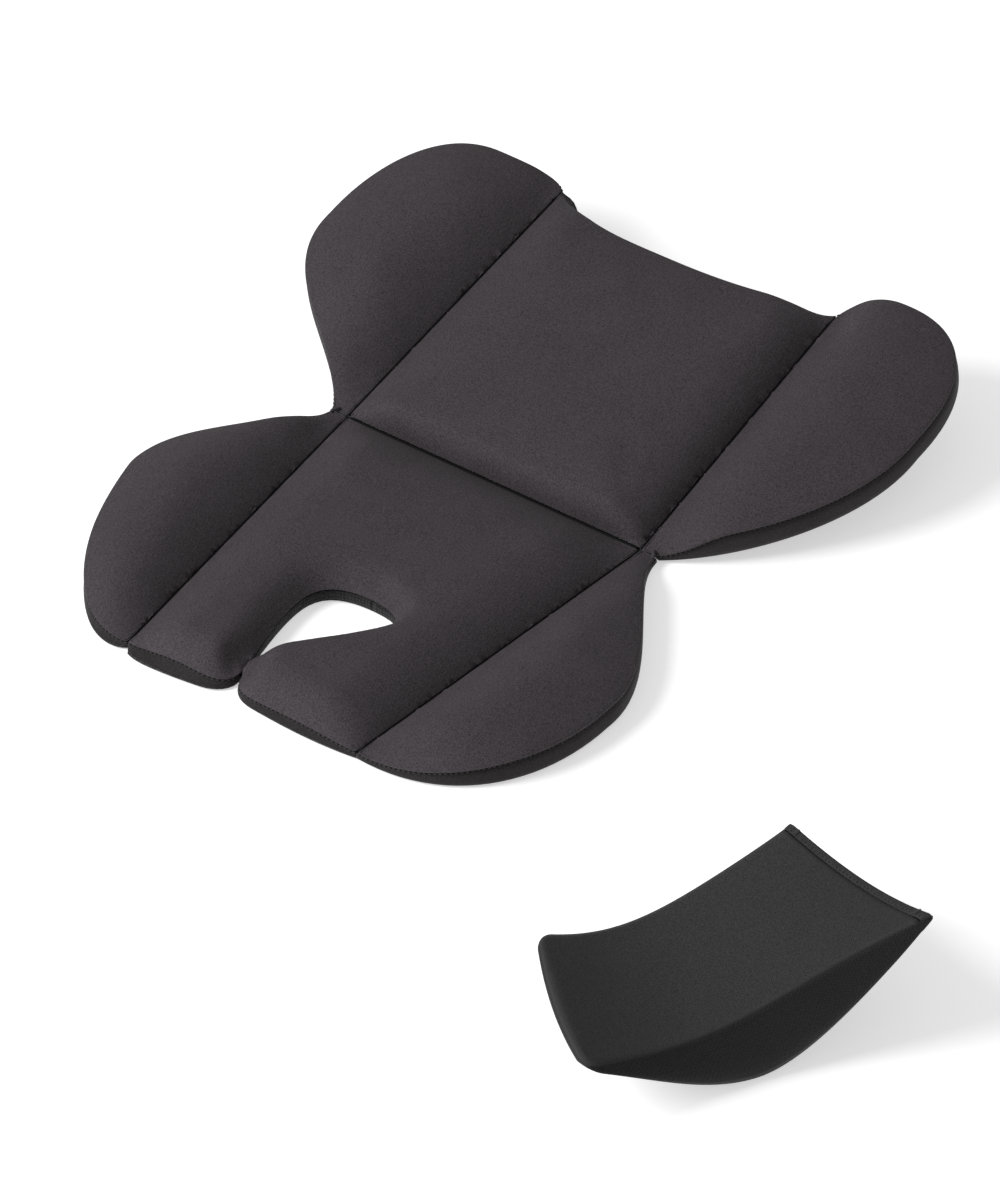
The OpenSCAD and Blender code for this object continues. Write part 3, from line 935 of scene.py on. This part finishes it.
def finish_cell(cell, cover):
    """Everything round a cell's cover: lining, padding, edge bands and their stitching."""
    thicken(cover, COVER_T, 1)
    lining = lining_sheet(cell)
    thicken(lining, LINING_T)
    padding = padding_solid(cell)
    parts = [
        (cover, "cover_fabric", cell.name + "_top_cover"),
        (lining, "lining_mesh", cell.name + "_underside"),
        (padding, "foam", cell.name + "_foam"),
    ]
    open_edges = [edge for edge in cell.edges if edge.kind == "open"]
    for k, edge in enumerate(open_edges):
        band = edge_band(f"{cell.name}_edge_band_{k + 1}", edge, BAND_BULGE)
        thicken(band, BAND_T)
        node = BAND_NODES.get(cell.name, cell.name + "_gusset")
        # the head end's band gets the lighter cover fabric: painted light
        parts.append((band, PAINTED_LIGHT_BAND_SLOTS.get(cell.name, "gusset_fabric"), node))
        thread = stitches(f"{cell.name}_stitching_{k + 1}", band_seam(edge))
        parts.append((thread, "thread", None))
    walls = [edge for edge in cell.edges if edge.kind == "slot"]
    for k, edge in enumerate(walls):
        wall = edge_band(f"slot_mesh_wall_{k + 1}", edge, SLOT_BULGE)
        thicken(wall, BAND_T)
        parts.append((wall, "slot_mesh", "slot_wall"))
    place_pieces(parts, cell.body, cell.matrix)


CORD_STEP = 1.2 * MM
CORD_H = SEAM_H - 0.6 * MM
CORD_R = 1.0 * MM
WAIST_CORD_R = 1.6 * MM
CORD_WAVE = 2.1  # radians from one mesh point to the next
CORD_SWELL = 0.06


def rolled_seam(name, panel, start, end, radius=CORD_R):
    """The gathered seam allowance on a fold line: a cord that swells between stitches. Its near-black
    fabric is painted shade, deepening the dark gap along the seam.
    """
    path = resampled(np.array([start, end]), CORD_STEP)[2:-2]
    path = np.column_stack([path, np.full(len(path), CORD_H)])
    swell = radius * (1 + CORD_SWELL * np.sin(np.arange(len(path)) * CORD_WAVE))
    cord = tube(name, path, swell)
    place_pieces([(cord, "seam_fabric", name.replace("_cord", ""))], panel, panel_matrix(panel))


TUCK_X = WAIST_X + 10 * MM
TUCK_W = 8 * MM
TUCK_H = 3.4 * MM  # how high its arch stands
TUCK_DEPTH = 1 * MM  # how far its feet lie below the seams
TUCK_R = 1.3 * MM


def neck_tuck(side, sign):
    """Fabric gathered into a small fold where the wings' necks meet at the waist.

    It stands across the neck seam like an arch, thinner at its feet."""
    turns = np.linspace(0, math.pi, 13)
    path = np.column_stack([
        sign * (TUCK_X + 0.18 * TUCK_W * np.sin(2 * turns)),
        -0.5 * TUCK_W * np.cos(turns),
        SEAM_H + TUCK_H * np.sin(turns) - TUCK_DEPTH,
    ])
    radii = TUCK_R * (0.55 + 0.45 * np.sin(turns))
    tuck = tube(side + "_neck_tuck", path, radii, sides=12)
    tuck.data.transform(panel_matrix("seat"))
    tuck.data.materials.append(MATERIALS["cover_fabric"])
    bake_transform(tuck)


# ---- the inlay ----

cells = [back_cell(), seat_cell()] + wing_cells()
sheets = [cover_sheet(cell) for cell in cells]
settle(sheets)
for cell, (cover, _) in zip(cells, sheets):
    finish_cell(cell, cover)

rolled_seam("waist_seam_cord", "seat", WAIST_CORNER * [-1, 1], WAIST_CORNER, WAIST_CORD_R)
for side, flip in (("left", [-1, 1]), ("right", [1, 1])):
    head = head_corner(side) * flip
    rolled_seam(side + "_shoulder_seam_cord", "back", WAIST_CORNER * flip, head)
    rolled_seam(side + "_hip_seam_cord", "seat", WAIST_CORNER * flip, FRONT_CORNER * flip)
    neck_tuck(side, flip[0])

# ---- the wedge ----
# Its own coordinates: u along it towards the high end, v across it from the long
# near side to the short far side, z up. A profile drawn for the long side shrinks
# evenly towards the short side.


def extreme_corner(node, key):
    """The plan place of a CAD node's vertex where key is largest."""
    return Vector(max((v.co[:] for v in frame["nodes"][node].data.vertices), key=key)[:2])


NEAR_LOW = extreme_corner("wedge_near_side_panel", lambda p: -p[1])
NEAR_HIGH = extreme_corner("wedge_near_side_panel", lambda p: p[0])
FAR_LOW = extreme_corner("wedge_far_side_panel", lambda p: -p[0])
FAR_HIGH = extreme_corner("wedge_far_side_panel", lambda p: p[1])
WEDGE_LEN = (NEAR_HIGH - NEAR_LOW).length
WEDGE_TAPER = (FAR_HIGH - FAR_LOW).length / WEDGE_LEN
WEDGE_DEPTH = ((FAR_LOW + FAR_HIGH) / 2 - (NEAR_LOW + NEAR_HIGH) / 2).length
HIGH_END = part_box("wedge_near_side_panel")[1].z
LOW_END = HIGH_END * 0.6
END_T = 5.5 * MM  # between the two layers at the high end
THIN_END_T = 4 * MM  # and at the thin end
THIN_END_TOP = LOW_END - 2.5 * MM
THIN_END_GAP = 0.5 * MM  # left between them where the top has rolled over
HALF = WEDGE_LEN / 2
CORNER_R = 13 * MM  # plan rounding of the thin end's corners
EDGE_ROLL = 4 * MM  # how far in the top fabric starts to roll over
SIDE_DROP = 1.4 * MM  # how far it rolls down to the side panels
END_SAG = 9 * MM  # the high end hangs down between its corners
END_BOW = 6 * MM  # the thin end bows out between its corners
END_PINCH = 2.2 * MM  # the high end's two layers come together at its corners
NEAR_INSET = 10 * MM  # the top's near edge lies this far in, so that side slopes
NEAR_RISE = 4 * MM  # and it's fuller there
FAR_BOW = 3 * MM  # and reaches this much further at the far corner
TOP_SWELL = 4.0 * MM  # the top is fuller towards the high end
UNDER_ROLL = 0.6 * MM  # how far the underside rolls up at its rim
SIDE_BULGE = 4 * MM  # of a side panel, where it's at least this tall:
SIDE_BULGE_FROM = 30 * MM
HEM_W = 6.5 * MM
HEM_T = 1.8 * MM
HEM_START = HALF - HEM_W
COVER_END = HEM_START - 0.5 * MM
HEM_SHADOW = 0.9 * MM  # a gap between the top cover and the hem's upper lip
HEM_OVERLAP = 0.6 * MM  # of the lower lip over the underside cover
TAPE_T = 1.7 * MM
TAPE_INSET = 1.0 * MM  # the closing tapes are this much narrower than the lips
TAPE_ENDS = slice(3, -3)  # and stop short of the sides
FOAM_INSET = 2.4 * MM
FOAM_FROM = 18 * MM - HALF  # the foam stops short of the thin end
FOAM_TO = HEM_START - 12 * MM  # and of the hem
TACK_INSET = 0.08  # bar tacks: from the wedge's side, as a share of its depth
TACK_W = 1.3 * MM  # half a thread's length
TACK_R = 0.4 * MM

U_POINTS = 72  # mesh points along the wedge
V_POINTS = 44  # and across it


def wedge_matrix():
    middle = (NEAR_LOW + NEAR_HIGH + FAR_LOW + FAR_HIGH) / 4
    turn = math.atan2(*reversed(NEAR_HIGH - NEAR_LOW))
    return Matrix.Translation((middle.x, middle.y, 0)) @ Matrix.Rotation(turn, 4, "Z")


def profile(*curves):
    """Height above u for a line made of cubic curves, each given by its four points."""
    line = joined(*[cubic(*[point(*p) for p in curve], count=60) for curve in curves])
    line = line[np.argsort(line[:, 0])]
    return lambda u: np.interp(u, line[:, 0], line[:, 1])


# The near side's two curves, in millimetres from the wedge's middle and from the floor
HALF_MM, LOW_MM, HIGH_MM = HALF / MM, THIN_END_TOP / MM, HIGH_END / MM
END_MM, THIN_END_MM = END_T / MM, THIN_END_T / MM
top_profile = profile((
    (-HALF_MM, LOW_MM), (-0.51 * HALF_MM, LOW_MM - 18),
    (0.12 * HALF_MM, LOW_MM - 28), (HALF_MM, HIGH_MM),
))
bottom_profile = profile(
    ((-HALF_MM, LOW_MM - THIN_END_MM), (-0.63 * HALF_MM, 28), (-0.32 * HALF_MM, 0), (0, 0)),
    ((0, 0), (0.29 * HALF_MM, 0), (0.64 * HALF_MM, 41), (HALF_MM, HIGH_MM - END_MM)),
)


def wedge_grid(u_from=-HALF, u_to=HALF, inset=0.0):
    """A grid over the wedge's plan with rounded corners at the thin end.

    Returns the place along u and across v, how close each point is to the rim (1 at the
    rim), and how much that direction points to the thin end."""
    u = np.linspace(u_from + inset, u_to - inset, U_POINTS)[:, None] * np.ones(V_POINTS)
    v = np.ones((U_POINTS, 1)) * np.linspace(-1, 1, V_POINTS) * (WEDGE_DEPTH / 2 - inset)
    p = 1 - (u - u_from - inset) / CORNER_R
    q = 1 - (WEDGE_DEPTH / 2 - inset - np.abs(v)) / CORNER_R
    corner = (p > 0) & (q > 0)
    round_p = np.where(corner, p * np.sqrt(1 - q**2 / 2), p)
    round_q = np.where(corner, q * np.sqrt(1 - p**2 / 2), q)
    u = u + (p - round_p) * CORNER_R
    v = np.sign(v) * (np.abs(v) - (q - round_q) * CORNER_R)
    middle = 1 - (2 * v / WEDGE_DEPTH) ** 2
    bow = END_BOW * middle + FAR_BOW * (v / WEDGE_DEPTH + 0.5)
    u = u - bow * np.clip(-u / HALF, 0, 1) ** 3
    rim = np.hypot(np.maximum(round_p, 0), np.maximum(round_q, 0))
    toward_end = np.maximum(round_p, 0) / np.maximum(rim, 1e-9)
    return u, v, rim, toward_end


def wedge_points(u, v, z):
    """The profile shrinks towards the far side, about its own origin."""
    size = 1 + (WEDGE_TAPER - 1) * (v / WEDGE_DEPTH + 0.5)
    return np.stack([u * size, v, z * size], axis=-1)


def end_sag(u, v):
    return END_SAG * np.clip(u / HALF, 0, 1) ** 3 * (1 - (2 * v / WEDGE_DEPTH) ** 2)


def rolled(rim):
    """0 on the flat and 1 at the rim, along a quarter circle."""
    share = np.clip(1 - (1 - rim) * CORNER_R / EDGE_ROLL, 0, 1)
    return 1 - np.sqrt(1 - share**2)


def rolled_over(rim, toward_end):
    """How far the top fabric drops as it rolls over the rim."""
    drop = SIDE_DROP + (THIN_END_T - THIN_END_GAP - SIDE_DROP) * toward_end**2
    return drop * rolled(rim)


def wedge_top(inset=0.0, down=0.0, u_from=-HALF, u_to=HALF):
    u, v, rim, toward_end = wedge_grid(u_from, u_to, inset)
    z = top_profile(u) + TOP_SWELL * np.sin(math.pi * np.clip(u / HALF, -1, 1))
    z = z - rolled_over(rim, toward_end) - end_sag(u, v) - down
    near = (0.5 - v / WEDGE_DEPTH) ** 2 * (1 - np.abs(np.clip(u / HALF, -1, 1)) ** 3)
    return wedge_points(u, v + NEAR_INSET * near, z + NEAR_RISE * near)


def wedge_bottom(inset=0.0, up=0.0, u_from=-HALF, u_to=HALF):
    u, v, rim, _ = wedge_grid(u_from, u_to, inset)
    end = np.clip(u / HALF * 5 - 4, 0, 1) ** 2
    lift = UNDER_ROLL * rolled(rim) + END_PINCH * end * np.abs(2 * v / WEDGE_DEPTH) ** 6
    return wedge_points(u, v, bottom_profile(u) + lift - end_sag(u, v) + up)


def side_panel(name, top, bottom, outward):
    """A side panel between the rims of the top and the bottom, with a slight bulge."""
    rows = []
    tall = np.clip((top - bottom)[:, 2] / SIDE_BULGE_FROM, 0, 1)
    for t in np.linspace(0, 1, 9):
        row = bottom + (top - bottom) * t
        row[:, 1] += outward * SIDE_BULGE * tall * math.sin(math.pi * t**0.6)
        rows.append(row)
    return strip(name, rows)


def facing(obj, direction):
    """Turns a sheet's faces so that they look along direction."""
    normals = np.array([p.normal[:] for p in obj.data.polygons])
    if (normals @ np.array(direction)).sum() < 0:
        obj.data.flip_normals()
    return obj


def hem_strip(name, end_line, inner_line, thick):
    """A flat strip with rounded edges between two lines across the wedge."""
    turns = np.linspace(0, 2 * math.pi, 20, endpoint=False)
    along = np.sign(np.cos(turns)) * np.abs(np.cos(turns)) ** 0.5
    across = np.sign(np.sin(turns)) * np.abs(np.sin(turns)) ** 0.8
    rows = []
    for end, inner in zip(end_line, inner_line):
        middle, half = (end + inner) / 2, (end - inner) / 2
        upward = np.array([-half[2], 0, half[0]]) / np.linalg.norm(half)
        rows.append(middle + np.outer(along, half) + np.outer(across, upward) * thick / 2)
    return closed_loft(name, rows)


def wedge_foam():
    """The foam block inside the wedge's cover."""
    shape = (FOAM_INSET, FOAM_INSET, FOAM_FROM, FOAM_TO)
    layers = [grid.reshape(-1, 3) for grid in (wedge_top(*shape), wedge_bottom(*shape))]
    faces = [face[::-1] for face in grid_faces(U_POINTS, V_POINTS)]
    last_row = (U_POINTS - 1) * V_POINTS
    rim = list(range(0, last_row, V_POINTS)) + list(range(last_row, last_row + V_POINTS))
    rim += list(range(last_row - 1, 0, -V_POINTS)) + list(range(V_POINTS - 2, 0, -1))
    return solid_between("wedge_padding", *layers, faces, rim)


def build_wedge():
    top, bottom = wedge_top(u_to=COVER_END), wedge_bottom(u_to=COVER_END)
    full_top, full_bottom = wedge_top(), wedge_bottom()
    cover = facing(strip("wedge_cover", top), (0, 0, 1))
    under = facing(strip("wedge_underside", bottom), (0, 0, -1))
    parts = [
        (cover, "wedge_fabric", "wedge_top_cover"), (under, "wedge_fabric", "wedge_underside_cover")
    ]
    for side, k, outward in (("near", 0, -1), ("far", -1, 1)):
        panel = side_panel(f"wedge_{side}_side", full_top[:, k], full_bottom[:, k], outward)
        parts.append((facing(panel, (0, outward, 0)), "wedge_mesh", f"wedge_{side}_side_panel"))
    for sheet, *_ in parts:
        thicken(sheet, COVER_T)

    # At the high end each layer has a hem lip, with a closing tape on its inner side
    upper = ("upper", full_top[-1], top[-1] + [HEM_SHADOW, 0, 0], -1, "wedge_opening_hem", "hook")
    lower = ("lower", full_bottom[-1], bottom[-1] - [HEM_OVERLAP, 0, 0], 1, None, "loop")
    for layer, end, inner, inward, node, tape in (upper, lower):
        lip = hem_strip(f"wedge_hem_{layer}_lip", end, inner, HEM_T)
        shift = np.array([0, 0, inward * (HEM_T + TAPE_T) / 2])
        narrower = np.array([TAPE_INSET, 0, 0])
        lines = (end + shift - narrower, inner + shift + narrower)
        strap = hem_strip(f"wedge_{tape}_strip", *(line[TAPE_ENDS] for line in lines), TAPE_T)
        parts += [(lip, "wedge_fabric", node), (strap, "closing_tape", f"wedge_{tape}_tape")]

    end_top, inner_top = upper[1:3]
    hem_seam = end_top * 0.2 + inner_top * 0.8 + [0, 0, HEM_T * 0.5]
    parts += [
        (wedge_foam(), "foam", "wedge_foam"),
        (stitches("wedge_hem_stitching", hem_seam), "thread", None),
        (bar_tacks(end_top, inner_top), "thread", "wedge_bar_tacks"),
    ]
    place_pieces(parts, "wedge", wedge_matrix())


def bar_tacks(end_line, inner_line):
    """Two short dense rows of thread across the hem."""
    rows = []
    for share in (TACK_INSET, 1 - TACK_INSET):
        k = round(share * (len(end_line) - 1))
        across = end_line[k] - inner_line[k]
        for t in np.linspace(0.15, 0.85, 12):
            spot = inner_line[k] + across * t + np.array([0, 0, HEM_T * 0.55])
            rows.append(np.array([spot - [0, TACK_W, 0], spot, spot + [0, TACK_W, 0]]))
    cords = [tube("tack", row, np.full(3, TACK_R), sides=6) for row in rows]
    return merged("wedge_tacks", cords)


def merged(name, objects):
    """One object from several."""
    points, faces = [], []
    for obj in objects:
        base = len(points)
        points += [v.co[:] for v in obj.data.vertices]
        faces += [tuple(base + i for i in p.vertices) for p in obj.data.polygons]
        bpy.data.objects.remove(obj)
    return add_object(name, points, faces)


build_wedge()

# ---- floor, light and camera ----

CAMERA_TURN = math.radians(36.14)  # from straight ahead, to the left
CAMERA_DROP = math.radians(38.52)  # looking down by this angle
CAMERA_AWAY = 4.306  # from the middle of the waist seam
CAMERA_RIGHT = 4.9 * MM  # it aims this far to the right of the waist
CAMERA_BELOW = 76.8 * MM  # and this far below it
LENS = 197.0  # millimetres


def add_aimed(name, data, place, target):
    """A camera or light that looks from one place to another."""
    obj = bpy.data.objects.new(name, data)
    obj.location = place
    obj.rotation_euler = (target - place).to_track_quat("-Z", "Y").to_euler()
    bpy.context.scene.collection.objects.link(obj)
    return obj


def add_camera():
    right = Vector((math.cos(CAMERA_TURN), math.sin(CAMERA_TURN), 0))
    ahead = Vector((-math.sin(CAMERA_TURN), math.cos(CAMERA_TURN), 0))
    view = ahead * math.cos(CAMERA_DROP) - Vector((0, 0, 1)) * math.sin(CAMERA_DROP)
    up = right.cross(view)
    target = WAIST + right * CAMERA_RIGHT - up * CAMERA_BELOW
    data = bpy.data.cameras.new("camera")
    data.lens = LENS
    data.clip_end = 30
    place = WAIST - view * CAMERA_AWAY
    bpy.context.scene.camera = add_aimed("camera", data, place, target)


KEY_PLACE = Vector((-1.7, -1.9, 2.0))
KEY_TARGET = Vector((0.1, 0, 0))
KEY_SIZE = 1.8
KEY_POWER = 101
SKY_LIGHT = 0.36
FLOOR_GLOW = 0.50  # a little light of its own, like a lit white sweep
FLOOR_HALF_W = 12.0
FLOOR_DROP = 0.5 * MM  # the floor lies this far below the pieces


def add_key_light():
    data = bpy.data.lights.new("key", "AREA")
    data.shape = "DISK"
    data.size = KEY_SIZE
    data.energy = KEY_POWER
    add_aimed("key", data, KEY_PLACE, KEY_TARGET)


def floor_material():
    shader = Shader("pale_floor")
    grain = shader.noise(3 * MM)
    shade = shader.mix(grain, (0.86, 0.86, 0.86), (0.88, 0.88, 0.88))
    return shader.finish(
        shade, grain, 0.01 * MM, Roughness=0.8, Specular_IOR_Level=0.2,
        Emission_Color=(1, 1, 1, 1), Emission_Strength=FLOOR_GLOW,
    )


def add_floor():
    corners = [(-1, -1), (1, -1), (1, 1), (-1, 1)]
    points = [(x * FLOOR_HALF_W, y * FLOOR_HALF_W, -FLOOR_DROP) for x, y in corners]
    floor = add_object("floor", points, [(0, 1, 2, 3)])
    floor.data.materials.append(floor_material())


def add_world():
    world = bpy.data.worlds.new("studio")
    world.use_nodes = True
    background = world.node_tree.nodes["Background"]
    background.inputs["Color"].default_value = (1, 1, 1, 1)
    background.inputs["Strength"].default_value = SKY_LIGHT
    bpy.context.scene.world = world


add_floor()
add_world()
add_key_light()
add_camera()
bpy.context.scene.view_settings.view_transform = "Standard"
